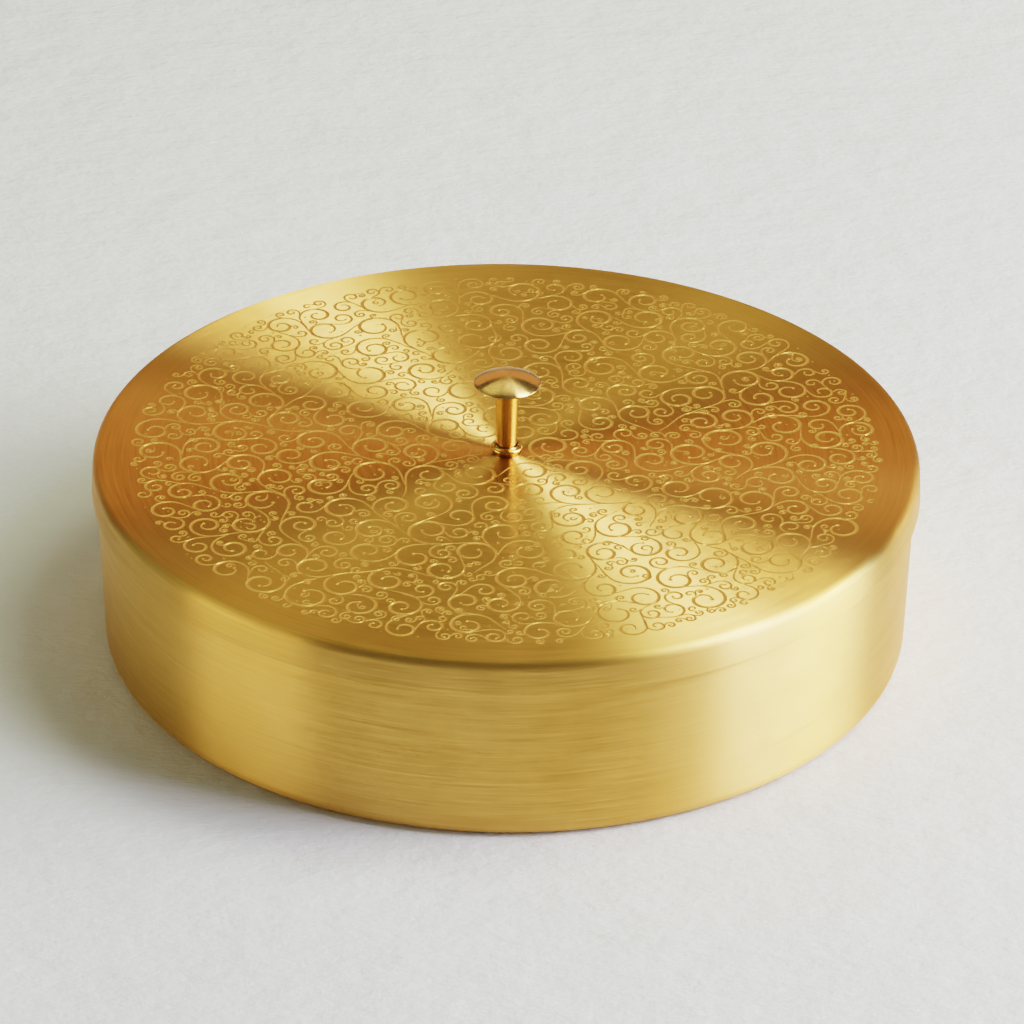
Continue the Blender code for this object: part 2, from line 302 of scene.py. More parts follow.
def turning_tree():
    """Carries an outline round the upright axis, closes it and puts it in its place."""
    tree = bpy.data.node_groups.new("turned_piece", "GeometryNodeTree")
    tree.is_modifier = True
    face = tree.interface
    for name, kind in (("Outline", "Geometry"), ("Sides", "Int"), ("Swing", "Float"), ("Weld", "Float"),
                       ("Place", "Vector"), ("Metal", "Material")):
        face.new_socket(name, in_out="INPUT", socket_type=f"NodeSocket{kind}")
    face.new_socket("Piece", in_out="OUTPUT", socket_type="NodeSocketGeometry")
    nodes = Nodes(tree)
    given = nodes.add("NodeGroupInput").outputs
    outline = nodes.add("GeometryNodeMeshToCurve", {"Mesh": given["Outline"]}).outputs["Curve"]
    ring = {"Resolution": given["Sides"], "Radius": given["Swing"]}
    circle = nodes.add("GeometryNodeCurvePrimitiveCircle", ring)
    level = nodes.add("GeometryNodeSetCurveNormal", {"Curve": circle.outputs["Curve"]})
    level.mode = "Z_UP"
    swept = nodes.add("GeometryNodeCurveToMesh", {"Curve": level.outputs["Curve"], "Profile Curve": outline})
    seam = {"Geometry": swept.outputs["Mesh"], "Distance": given["Weld"]}
    closed = nodes.add("GeometryNodeMergeByDistance", seam)
    smooth = nodes.add("GeometryNodeSetShadeSmooth", {"Geometry": closed.outputs["Geometry"]})
    shift = {"Geometry": smooth.outputs["Geometry"], "Translation": given["Place"]}
    placed = nodes.add("GeometryNodeTransform", shift)
    real = nodes.add("GeometryNodeRealizeInstances", {"Geometry": placed.outputs[0]})
    metal = nodes.add("GeometryNodeSetMaterial", {"Geometry": real.outputs[0], "Material": given["Metal"]})
    nodes.add("NodeGroupOutput", {"Piece": metal.outputs[0]})
    return tree


def arc(centre, radius, start, end, steps):
    """Points along an arc in the (radius, height) plane, with both ends. Angles are in degrees."""
    points = []
    for step in range(steps + 1):
        angle = math.radians(start + (end - start) * step / steps)
        points.append((centre[0] + radius * math.cos(angle), centre[1] + radius * math.sin(angle)))
    return points


def turned(name, outline, sides, metal, place=(0.0, 0.0, 0.0)):
    """A plain mesh turned from (radius, height) points that run up the outside from the foot's middle."""
    tree = bpy.data.node_groups.get("turned_piece") or turning_tree()
    mesh = bpy.data.meshes.new(name + "_outline")
    points = [(radius - SWING, -height, 0.0) for radius, height in outline]
    mesh.from_pydata(points, [(index, index + 1) for index in range(len(points) - 1)], [])
    guide = bpy.data.objects.new(name + "_outline", mesh)
    bpy.context.scene.collection.objects.link(guide)
    modifier = guide.modifiers.new("turn", "NODES")
    modifier.node_group = tree
    sockets = {item.name: item.identifier for item in tree.interface.items_tree if item.in_out == "INPUT"}
    values = {"Sides": sides, "Swing": SWING, "Weld": WELD, "Place": place, "Metal": metal}
    for socket, value in values.items():
        modifier[sockets[socket]] = value
    return applied(name, guide)


def applied(name, blank):
    """The mesh that an object's modifiers make. The object itself is taken away."""
    graph = bpy.context.evaluated_depsgraph_get()
    made = bpy.data.meshes.new_from_object(blank.evaluated_get(graph), depsgraph=graph)
    made.name = name
    plain = blank.data
    bpy.data.objects.remove(blank, do_unlink=True)
    bpy.data.meshes.remove(plain)
    return made


def facing_out(mesh):
    """Turns a closed mesh the right way out."""
    shape = bmesh.new()
    shape.from_mesh(mesh)
    if shape.calc_volume(signed=True) < 0:
        bmesh.ops.reverse_faces(shape, faces=shape.faces)
    shape.to_mesh(mesh)
    shape.free()


def add_piece(name, mesh, body, slot, *nodes, crease=40.0):
    """Links a finished mesh and puts it in the place of its plain solids."""
    if crease:
        mesh.set_sharp_from_angle(angle=math.radians(crease))
    piece = bpy.data.objects.new(name, mesh)
    bpy.context.scene.collection.objects.link(piece)
    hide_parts(*nodes)
    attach(piece, body)
    return piece


def closed_outline(points):
    """An outline that ends where it starts, for a ring."""
    return points + points[:1]


# ---------------------------------------------------------------- the engraving
# Lengths in this section are in millimetres, because the strokes are as fine as a hair.

# Each pass: smallest and largest scroll, tries, clearance, and how fast the scroll tightens.
SCROLL_PASSES = (
    (5.0, 7.0, 3200, 1.7, 0.15),
    (3.3, 4.6, 5000, 1.45, 0.16),
    (2.0, 3.0, 9000, 1.2, 0.17),
    (1.2, 1.8, 10000, 1.0, 0.18),
)
LOOSE_PASSES = (
    (1.6, 2.4, 1800, 1.25, 0.16),
    (0.8, 1.3, 3000, 1.05, 0.16),
)
HUB = 6.0  # the scrolls keep out of this radius, round the collar
FIRST_VINES = 9
PUNCH_TRIES = 1500
MARGIN = 0.3  # the scrolls' middle lines keep this far inside the engraved radius
MARK_SPACING = 0.6  # between the points that stand for a stroke when strokes keep clear of each other
CUT_SPACING = 0.22  # between the points that its depth is worked out from
END_WIDTH = 0.17  # half the width of a stroke at its ends
USUAL_WIDTH = 0.45  # half the width of the cut that the engraving depth is given for
EDGE_RING = 0.3  # width of the sheet's smooth outer edge


def scroll(x, y, heading, size, way, stem, sweep, tight):
    """A stem that winds up into a volute, as (x, y, heading) points, and the number of steps in its stem."""
    step = math.radians(17 if size > 3.0 else 21 if size > 2.0 else 26)
    count = max(3, int(stem / (size * step * 1.3)))
    moves = []
    for index in range(count):
        share = (index + 0.5) / count
        length = stem / count
        moves.append((length, (1.45 * share * share - 0.45) * way * length / size))
    for index in range(int(sweep / step) + 1):
        moves.append((size * math.exp(-tight * (index + 0.5) * step) * step, way * step))
    points = [(x, y, heading)]
    for length, turn in moves:
        heading += turn / 2
        x += length * math.cos(heading)
        y += length * math.sin(heading)
        heading += turn / 2
        points.append((x, y, heading))
    return points, count


class Engraver:
    """Fills a ring-shaped field with scrolls that grow out of each other and keep clear of each other."""

    cell = 1.8

    def __init__(self, seed, limit, hub):
        self.random = random.Random(seed)
        self.limit = limit
        self.hub = hub
        self.cells = {}
        self.scrolls = []
        self.dots = []

    def mark(self, x, y, owner, index):
        key = math.floor(x / self.cell), math.floor(y / self.cell)
        self.cells.setdefault(key, []).append((x, y, owner, index))

    def touched(self, x, y, gap, parent=None, low=0, high=0):
        """Whether a scroll passes within gap of a point. The parent's points from low to high don't count."""
        column, row = math.floor(x / self.cell), math.floor(y / self.cell)
        for key in ((column + i, row + j) for i in (-1, 0, 1) for j in (-1, 0, 1)):
            for other_x, other_y, owner, index in self.cells.get(key, ()):
                if owner == parent and low <= index <= high:
                    continue
                if (other_x - x) ** 2 + (other_y - y) ** 2 < gap * gap:
                    return True
        return False

    def spot(self):
        angle = self.random.uniform(0, math.tau)
        radius = math.sqrt(self.random.uniform(self.hub**2, self.limit**2))
        return radius * math.cos(angle), radius * math.sin(angle)

    def grow(self, x, y, heading, size, way, stem, sweep, tight, gap, parent=None, at=0):
        """Adds a scroll unless it would run into another one, the hub or the plain margin."""
        points, count = scroll(x, y, heading, size, way, stem, sweep, tight)
        spacing = 1.0
        if parent is not None:
            spacing = math.dist(self.scrolls[parent][0][at][:2], self.scrolls[parent][0][at - 1][:2])
        for index, (a, b, _) in enumerate(points[1:], 1):
            travelled = math.dist((x, y), (a, b)) if index <= count + 4 else 0.0
            reach = int((travelled + gap) / spacing) + 2
            nearness = gap if index > 4 else gap * 0.7
            if not self.hub < math.hypot(a, b) < self.limit - MARGIN:
                return False
            if self.touched(a, b, nearness, parent, at - reach, at + reach):
                return False
        owner = len(self.scrolls)
        self.scrolls.append((points, size, way))
        for index, (first, second) in enumerate(zip(points, points[1:])):
            marks = max(1, int(math.dist(first[:2], second[:2]) / MARK_SPACING))
            for part in range(marks):
                share = part / marks
                self.mark(
                    first[0] + (second[0] - first[0]) * share,
                    first[1] + (second[1] - first[1]) * share,
                    owner,
                    index,
                )
        self.mark(*points[-1][:2], owner, len(points) - 1)
        return True

    def plant(self, number):
        """The first few vines, which all the others grow from."""
        uniform = self.random.uniform
        while len(self.scrolls) < number:
            x, y = self.spot()
            sweep = uniform(2.3, 2.9) * math.pi
            way = self.random.choice((-1, 1))
            self.grow(x, y, uniform(0, math.tau), uniform(5.5, 7.0), way, uniform(6, 12), sweep, 0.155, 1.5)

    def branch(self, smallest, largest, tries, gap, tight):
        """Scrolls that leave an older one on its outer side and wind the other way."""
        uniform = self.random.uniform
        for _ in range(tries):
            parent = self.random.randrange(len(self.scrolls))
            points, parent_size, parent_way = self.scrolls[parent]
            at = self.random.randrange(1, max(2, int(len(points) * 0.72)))
            x, y, heading = points[at]
            if parent_size < smallest * 0.75 or math.hypot(x, y) > self.limit:
                continue
            size = uniform(smallest, largest)
            way = -parent_way if self.random.random() < 0.8 else parent_way
            heading -= parent_way * uniform(0.05, 0.45)
            stem = size * uniform(0.5, 1.7)
            sweep = uniform(1.9, 2.9) * math.pi
            self.grow(x, y, heading, size, way, stem, sweep, tight * uniform(0.85, 1.25), gap, parent, at)

    def scatter(self, smallest, largest, tries, gap, tight):
        """Loose curls in the space that is left."""
        uniform = self.random.uniform
        for _ in range(tries):
            x, y = self.spot()
            size = uniform(smallest, largest)
            way = self.random.choice((-1, 1))
            if not self.touched(x, y, gap):
                sweep = uniform(1.3, 2.2) * math.pi
                self.grow(x, y, uniform(0, math.tau), size, way, size * 0.7, sweep, tight, gap)

    def pepper(self, tries):
        """Small round punches in the last gaps."""
        for _ in range(tries):
            x, y = self.spot()
            if not self.touched(x, y, 1.2):
                self.dots.append((x, y, self.random.uniform(0.2, 0.42)))
                self.mark(x, y, -1, 0)

    def strokes(self):
        """Every scroll as a run of (x, y, half width). Each large one ends in a punch."""
        runs = []
        for points, size, _ in self.scrolls:
            last = len(points) - 1
            runs.append([(x, y, half_width(index / last, size)) for index, (x, y, _) in enumerate(points)])
            if size > 1.2:
                self.dots.append((*points[-1][:2], 0.16 + 0.06 * size))
        return runs


def half_width(share, size):
    """Half the width of a stroke, thin at its root, full in the volute and thinner at its tip."""
    most = 0.28 + 0.036 * size
    peak = 0.45
    if share < peak:
        return END_WIDTH + (most - END_WIDTH) * math.sin(math.pi / 2 * share / peak)
    return END_WIDTH + (most - END_WIDTH) * math.cos(math.pi / 2 * (share - peak) / (1 - peak)) ** 0.8


def engrave(seed, limit):
    """The strokes and the punches that fill the lid's top out to a radius."""
    engraver = Engraver(seed, limit, HUB)
    engraver.plant(FIRST_VINES)
    for each in SCROLL_PASSES:
        engraver.branch(*each)
    for each in LOOSE_PASSES:
        engraver.scatter(*each)
    engraver.pepper(PUNCH_TRIES)
    runs = engraver.strokes()
    return runs, engraver.dots


def polygon(radius, sides, x=0.0, y=0.0):
    """The corners of a regular polygon."""
    turns = [math.tau * side / sides for side in range(sides)]
    return [(x + radius * math.cos(turn), y + radius * math.sin(turn)) for turn in turns]


class Sheet:
    """A flat sheet between rings, cut along the edges and the middle of each stroke."""

    def __init__(self):
        self.points = []
        self.edges = []
        self.cuts = []  # (x, y, half width) along the middles of the strokes

    def chain(self, points, closed=False):
        """Adds a run of edges and returns the number of its first point."""
        first = len(self.points)
        self.points += [Vector(point) for point in points]
        last = len(self.points) - 1
        self.edges += [(index, index + 1) for index in range(first, last)]
        if closed:
            self.edges.append((last, first))
        return first

    def stroke(self, run):
        """Cuts along both sides, both ends and the middle of a stroke."""
        left = []
        right = []
        for index, (x, y, width) in enumerate(run):
            before = run[max(0, index - 1)]
            after = run[min(len(run) - 1, index + 1)]
            along = Vector((after[0] - before[0], after[1] - before[1])).normalized() * width
            left.append((x - along.y, y + along.x))
            right.append((x + along.y, y - along.x))
        middle = self.chain([(x, y) for x, y, _ in run])
        one_side = self.chain(left)
        other_side = self.chain(right)
        last = len(run) - 1
        for end in (0, last):
            self.edges.append((one_side + end, middle + end))
            self.edges.append((middle + end, other_side + end))
        for first, second in zip(run, run[1:]):
            parts = max(1, int(math.dist(first[:2], second[:2]) / CUT_SPACING))
            for part in range(parts):
                share = part / parts
                self.cuts.append(tuple(a + (b - a) * share for a, b in zip(first, second)))
        self.cuts.append(run[-1])

    def punch(self, x, y, radius):
        self.chain(polygon(radius, 7, x, y), closed=True)
        self.points.append(Vector((x, y)))
        self.cuts.append((x, y, radius))

    def depths(self, points, slope):
        """How deep each point lies. Each stroke is a round hollow, slope times as deep as half its width."""
        widest = max(width for _, _, width in self.cuts)
        tree = kdtree.KDTree(len(self.cuts))
        for index, (x, y, _) in enumerate(self.cuts):
            tree.insert((x, y, 0.0), index)
        tree.balance()
        depths = []
        for point in points:
            depth = 0.0
            for _, index, gap in tree.find_range((point[0], point[1], 0.0), widest):
                width = self.cuts[index][2]
                depth = max(depth, slope * width * (1.0 - (gap / width) ** 2))
            depths.append(depth if depth > 0.06 * slope * widest else 0.0)
        return depths

    def mesh(self, name, top, slope, inner, smooth_from):
        """The pressed sheet in metres, with no faces inside the inner radius. Sunk ones are etched metal."""
        points, _, faces, _, _, _ = delaunay_2d_cdt(self.points, self.edges, [], 0, 1e-5, False)
        depths = self.depths(points, slope)
        kept = []
        smooth = []
        sunk = []
        for face in faces:
            centre = [sum(points[corner][axis] for corner in face) / 3 for axis in (0, 1)]
            radius = math.hypot(*centre)
            if radius > inner:
                kept.append(face)
                sunk.append(any(depths[corner] for corner in face))
                smooth.append(sunk[-1] or radius > smooth_from)
        places = [(x * MM, y * MM, top - depth * MM) for (x, y), depth in zip(points, depths)]
        made = bpy.data.meshes.new(name)
        made.from_pydata(places, [], kept)
        made.polygons.foreach_set("use_smooth", smooth)
        made.polygons.foreach_set("material_index", [int(each) for each in sunk])
        return made


# ---------------------------------------------------------------- operators


def sizes():
    return bpy.context.scene.spice_box_sizes


def finish():
    return bpy.context.scene.spice_box_finish


def joined(name, meshes, metals):
    """One closed mesh out of meshes that meet along their open edges."""
    shape = bmesh.new()
    for mesh in meshes:
        shape.from_mesh(mesh)
    seams = [point for point in shape.verts if point.is_boundary]
    bmesh.ops.remove_doubles(shape, verts=seams, dist=WELD)
    loose = [point for point in shape.verts if not point.link_faces]
    bmesh.ops.delete(shape, geom=loose, context="VERTS")
    bmesh.ops.recalc_face_normals(shape, faces=shape.faces)
    if any(not edge.is_manifold for edge in shape.edges):
        raise RuntimeError(f"{name} isn't closed")
    made = bpy.data.meshes.new(name)
    shape.to_mesh(made)
    shape.free()
    for metal in metals:
        made.materials.append(metal)
    for mesh in meshes:
        bpy.data.meshes.remove(mesh)
    return made


class SPICEBOX_OT_box(Operator):
    """Spin the round box"""

    bl_idname = "spicebox.box"
    bl_label = "Box"

    def execute(self, context):
        size = sizes()
        rim = BOX_HIGH[0]
        top = BOX_HIGH[2]
        wall = size.box_wall
        lip = wall / 2
        corner = (rim - size.box_taper - size.box_corner, BOX_LOW[2] + size.box_corner)
        outline = [(0.0, BOX_LOW[2]), (corner[0] * 0.5, BOX_LOW[2])]
        outline += arc(corner, size.box_corner, -90, 0, 14)
        outline += arc((rim - lip, top - lip), lip, 0, 180, 8)
        outline += arc(corner, size.box_corner - wall, 0, -90, 14)
        outline += [(corner[0] * 0.5, BOX_LOW[2] + wall), (0.0, BOX_LOW[2] + wall)]
        metal = spun_metal("brushed_box_brass", finish().brass, finish().worn_brass, 0.385, anisotropic=0.95)
        mesh = turned("box_shell", outline, size.sides, metal)
        facing_out(mesh)
        add_piece("box_shell", mesh, "box", "box_brass", "box_body")
        return {"FINISHED"}


class SPICEBOX_OT_lid(Operator):
    """Spin the lid and engrave its top"""

    bl_idname = "spicebox.lid"
    bl_label = "Engraved lid"

    def execute(self, context):
        size = sizes()
        radius = LID_HIGH[0]
        top = LID_HIGH[2]
        wall = size.lid_wall
        lean = size.lid_lean
        lip = wall / 2
        tilt = math.degrees(lean / (top - size.lid_shoulder - LID_LOW[2]))
        outside = (radius - lean - size.lid_shoulder, top - size.lid_shoulder)
        inside = (radius - size.lid_shoulder, top - size.lid_shoulder)
        outline = arc(outside, size.lid_shoulder, 90, tilt, 10)
        outline += arc((radius - lip, LID_LOW[2] + lip), lip, tilt, -180, 6)
        outline += arc(inside, size.lid_shoulder - wall, 0, 90, 6)
        outline += [(SCREW_BORE, top - wall), (SCREW_BORE, top)]
        metal = spun_metal("engraved_lid_brass", finish().brass, finish().worn_brass, 0.40, anisotropic=1.0)
        etched = etched_metal("etched_brass", finish().brass, finish().worn_brass, 0.46)
        shell = turned("lid_shell", outline, size.sides, metal)
        mesh = joined("engraved_lid", [shell, self.pressed_top(shell, top)], (metal, etched))
        facing_out(mesh)
        add_piece("engraved_lid", mesh, "lid", "lid_brass", "lid", crease=0.0)
        return {"FINISHED"}

    def pressed_top(self, shell, top):
        """The sheet that closes the shell's open top, with the scrolls pressed into it."""
        size = sizes()
        limit = size.engraved_radius / MM
        sheet = Sheet()
        edges = {}
        for x, y, z in (point.co for point in shell.vertices):
            if abs(z - top) < WELD:
                edges.setdefault(round(math.hypot(x, y) / MM, 1), []).append((x / MM, y / MM))
        for ring in edges.values():
            sheet.chain(sorted(ring, key=lambda point: math.atan2(point[1], point[0])), closed=True)
        inner = min(edges)
        outer = max(edges)
        for radius in (limit + 1.0, outer - EDGE_RING):
            sheet.chain(polygon(radius, size.sides), closed=True)
        strokes, punches = engrave(size.engraving_seed, limit)
        for run in strokes:
            sheet.stroke(run)
        for punch in punches:
            sheet.punch(*punch)
        slope = size.engraved_depth / MM / USUAL_WIDTH
        return sheet.mesh("pressed_top", top, slope, inner, outer - EDGE_RING)


class SPICEBOX_OT_knob(Operator):
    """Turn the knob and the collar round its foot"""

    bl_idname = "spicebox.knob"
    bl_label = "Knob and collar"

    def execute(self, context):
        head = KNOB_HIGH[0]
        foot = KNOB_LOW[2]
        top = KNOB_HIGH[2]
        dome = 2.2 * MM
        edge = 0.14 * MM
        stem_foot = 2.6 * MM
        stem_top = 3.0 * MM
        bore_top = foot + 9.3 * MM
        flare = 1.6 * MM
        rim = top - dome
        sphere = (head * head + dome * dome) / (2 * dome)
        slope = math.degrees(math.acos(head / sphere))
        cone_top = rim - 0.5 * MM
        neck = cone_top - 2.4 * MM
        outline = [(0.0, bore_top), (SCREW_BORE, bore_top), (SCREW_BORE, foot), (stem_foot, foot)]
        for share in (0.12, 0.5, 0.9):
            outline.append((stem_foot + (stem_top - stem_foot) * share, foot + (neck - foot) * share))
        outline += arc((stem_top + flare, neck - 0.4 * MM), flare, 180, 112, 8)
        outline += arc((head - edge, rim - edge), edge, -70, 60, 6)
        outline += arc((0.0, top - sphere), sphere, slope + 2.5, 90, 24)[:-1]
        outline += [(0.0, top)]
        metal = spun_metal("turned_knob_brass", finish().rose_brass, finish().brass, 0.20, anisotropic=0.85)
        mesh = turned("knob_turned", outline, SMALL_SIDES, metal)
        facing_out(mesh)
        add_piece("knob_turned", mesh, "lid", "knob_brass", "knob")
        self.collar()
        return {"FINISHED"}

    def collar(self):
        inside = 2.9 * MM
        outside = COLLAR_HIGH[0]
        low = COLLAR_LOW[2]
        high = COLLAR_HIGH[2]
        half = (high - low) / 2
        bead = half * 0.6
        edge = 0.15 * MM
        outline = [(inside, low), (outside - 0.5 * MM, low)]
        outline += arc((outside - bead, low + half), bead, -60, 90, 10)
        outline += [(inside + edge, high), (inside, high - edge)]
        metal = polished_metal("collar_brass_finish", finish().brass, finish().worn_brass, 0.2)
        mesh = turned("collar_turned", closed_outline(outline), SMALL_SIDES, metal)
        facing_out(mesh)
        add_piece("collar_turned", mesh, "lid", "collar_brass", "knob_collar")


class SPICEBOX_OT_screw(Operator):
    """Turn the slotted screw that holds the knob, and its washer"""

    bl_idname = "spicebox.screw"
    bl_label = "Screw and washer"

    def execute(self, context):
        self.washer()
        head = SCREW_HIGH[0]
        foot = SCREW_LOW[2]
        tip = SCREW_HIGH[2]
        seat = foot + 1.9 * MM
        crest = 1.3 * MM
        root = crest - 0.2 * MM
        pitch = 0.5 * MM
        round_edge = 0.35 * MM
        sharp_edge = 0.08 * MM
        outline = [(0.0, foot), (head - 0.6 * MM, foot)]
        outline += arc((head - round_edge, foot + round_edge), round_edge, -80, 0, 5)
        outline += [(head, seat - sharp_edge), (head - sharp_edge, seat), (root, seat)]
        ridge = seat + 0.4 * MM
        while ridge + pitch < tip - 0.4 * MM:
            outline += [(root, ridge), (crest, ridge + pitch * 0.4), (crest, ridge + pitch * 0.55)]
            ridge += pitch
        outline += [(root, ridge), (root, tip - 0.3 * MM), (crest - 0.5 * MM, tip), (0.0, tip)]
        metal = polished_metal("screw_steel_finish", finish().steel, (0.42, 0.41, 0.40), 0.24)
        plain = turned("screw_plain", outline, SCREW_SIDES, metal)
        facing_out(plain)
        mesh = self.slotted(plain, foot, head)
        facing_out(mesh)
        add_piece("screw_turned", mesh, "lid", "screw_steel", "knob_screw", crease=28.0)
        return {"FINISHED"}

    def slotted(self, plain, foot, head):
        """The screw with a driver slot, 0.8 mm wide and 0.8 mm deep, cut across its head."""
        cutter_mesh = bpy.data.meshes.new("slot_cutter")
        shape = bmesh.new()
        bmesh.ops.create_cube(shape, size=1.0)
        bmesh.ops.scale(shape, vec=(4 * head, 0.8 * MM, 1.6 * MM), verts=shape.verts)
        bmesh.ops.translate(shape, vec=(0.0, 0.0, foot), verts=shape.verts)
        shape.to_mesh(cutter_mesh)
        shape.free()
        cutter = bpy.data.objects.new("slot_cutter", cutter_mesh)
        blank = bpy.data.objects.new("screw_blank", plain)
        for each in (cutter, blank):
            bpy.context.scene.collection.objects.link(each)
        cut = blank.modifiers.new("slot", "BOOLEAN")
        cut.operation = "DIFFERENCE"
        cut.solver = "EXACT"
        cut.object = cutter
        mesh = applied("screw_turned", blank)
        bpy.data.objects.remove(cutter, do_unlink=True)
        bpy.data.meshes.remove(cutter_mesh)
        return mesh

    def washer(self):
        edge = 0.12 * MM
        outside = WASHER_HIGH[0]
        low = WASHER_LOW[2]
        high = WASHER_HIGH[2]
        outline = [(SCREW_BORE + edge, low), (outside - edge, low)]
        outline += [(outside, low + edge), (outside, high - edge)]
        outline += [(outside - edge, high), (SCREW_BORE + edge, high)]
        outline += [(SCREW_BORE, high - edge), (SCREW_BORE, low + edge)]
        metal = spun_metal("washer_brass_finish", finish().brass, finish().worn_brass, 0.34)
        mesh = turned("washer_turned", closed_outline(outline), SMALL_SIDES, metal)
        facing_out(mesh)
        add_piece("washer_turned", mesh, "lid", "washer_brass", "knob_washer", crease=30.0)


class SPICEBOX_OT_cups(Operator):
    """Spin the seven cups with their rolled rims"""

    bl_idname = "spicebox.cups"
    bl_label = "Cups"

    def execute(self, context):
        for number, cup in enumerate(CUPS):
            place = middle(cup)
            metal = spun_metal(
                f"{cup}_brass", finish().brass, finish().worn_brass, 0.30 + 0.006 * number, centre=place
            )
            mesh = turned(f"{cup}_spun", self.outline(cup), CUP_SIDES, metal, place)
            facing_out(mesh)
            add_piece(f"{cup}_spun", mesh, cup, "cup_brass", cup)
        return {"FINISHED"}

    def outline(self, cup):
        """A rounded foot, a side that widens a little, a rolled rim and a step pressed in the floor."""
        size = sizes()
        low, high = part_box(cup)
        radius = (high[0] - low[0]) / 2
        floor = low[2]
        bead = size.cup_bead
        wall = size.cup_wall
        corner_radius = 5.0 * MM
        taper = 1.2 * MM
        foot = radius - 2 * bead + wall - taper
        corner = (foot - corner_radius, floor + corner_radius)
        ring = foot - corner_radius - 5.0 * MM
        ring_slope = 1.2 * MM
        press = 0.35 * MM
        underneath = [(0.0, floor + press), (ring, floor + press), (ring + ring_slope, floor)]
        start = -math.degrees(math.acos((wall - bead) / bead))
        side = arc(corner, corner_radius, -90, 0, 14)
        rim = arc((radius - bead, high[2] - bead), bead, start, 180, 20)
        inside = arc(corner, corner_radius - wall, 0, -90, 14)
        inner_floor = floor + wall
        raised = [(ring + ring_slope, inner_floor), (ring, inner_floor + press), (0.0, inner_floor + press)]
        return underneath + side + rim + inside + raised


class SPICEBOX_OT_spoon(Operator):
    """Press the spoon from sheet"""

    bl_idname = "spicebox.spoon"
    bl_label = "Spoon"

    bowl_radius = 12.0 * MM
    bowl_depth = 7.5 * MM
    length = 118.0 * MM
    thickness = 1.1 * MM
    end = 4.0 * MM  # half the handle's width at its end
    sides = 64
    rings = 14
    neck = 2  # rim corners on each side of the handle's middle line
    straight_rows = 32
    round_rows = 7

    def execute(self, context):
        shape = bmesh.new()
        self.handle(shape, self.bowl(shape))
        bmesh.ops.recalc_face_normals(shape, faces=shape.faces)
        if sum(face.normal.z for face in shape.faces) < 0:
            bmesh.ops.reverse_faces(shape, faces=shape.faces)
        place = middle(SPOON_CUP)
        turn = Matrix.Rotation(math.atan2(-place.y, -place.x), 4, "Z")
        place.z = SPOON_HIGH[2]
        bmesh.ops.transform(shape, matrix=Matrix.Translation(place) @ turn, verts=shape.verts)
        sheet = bpy.data.meshes.new("spoon_sheet")
        shape.to_mesh(sheet)
        shape.free()
        sheet.materials.append(polished_metal("spoon_brass_finish", finish().brass, finish().worn_brass, 0.2))
        blank = bpy.data.objects.new("spoon_sheet", sheet)
        bpy.context.scene.collection.objects.link(blank)
        thicken = blank.modifiers.new("thicken", "SOLIDIFY")
        thicken.thickness = self.thickness
        thicken.offset = -1.0
        soften = blank.modifiers.new("soften", "BEVEL")
        soften.width = 0.3 * MM
        soften.segments = 3
        soften.angle_limit = math.radians(50)
        mesh = applied("spoon_pressed", blank)
        mesh.shade_smooth()
        facing_out(mesh)
        add_piece("spoon_pressed", mesh, "spoon", "spoon_brass", "spoon", crease=0.0)
        return {"FINISHED"}

    def bowl(self, shape):
        """A dished round sheet. Returns the rim corners where the handle starts, from right to left."""
        centre = shape.verts.new((0.0, 0.0, -self.bowl_depth))
        inner = []
        for ring in range(1, self.rings + 1):
            share = ring / self.rings
            height = -self.bowl_depth * (1 - share * share) ** 1.15
            corners = []
            for side in range(self.sides):
                turn = math.tau * side / self.sides
                reach = self.bowl_radius * share
                corners.append(shape.verts.new((reach * math.cos(turn), reach * math.sin(turn), height)))
            for side in range(self.sides):
                after = (side + 1) % self.sides
                if inner:
                    shape.faces.new((inner[side], corners[side], corners[after], inner[after]))
                else:
                    shape.faces.new((centre, corners[side], corners[after]))
            inner = corners
        return [inner[side] for side in range(-self.neck, self.neck + 1)]

    def handle(self, shape, start):
        """A strip that widens from the bowl's rim to a round end, with its middle pressed into a low rib."""
        neck = abs(start[0].co.y)
        straight = self.length - self.end
        rows = []
        for step in range(1, self.straight_rows + 1):
            share = step / self.straight_rows
            along = start[0].co.x + (straight - start[0].co.x) * share
            rows.append((along, neck + (self.end - neck) * share**1.6, share))
        for step in range(1, self.round_rows + 1):
            turn = math.radians(12.3 * step)
            share = 1.0 - step / self.round_rows
            rows.append((straight + self.end * math.sin(turn), self.end * math.cos(turn), share))
        before = start
        for along, half, share in rows:
            rib = 0.25 * MM * math.sin(math.pi * min(share, 0.5))
            row = []
            for column in range(-self.neck, self.neck + 1):
                across = column / self.neck
                row.append(shape.verts.new((along, half * across, -rib * abs(across) ** 2)))
            for index in range(len(row) - 1):
                shape.faces.new((before[index], row[index], row[index + 1], before[index + 1]))
            before = row


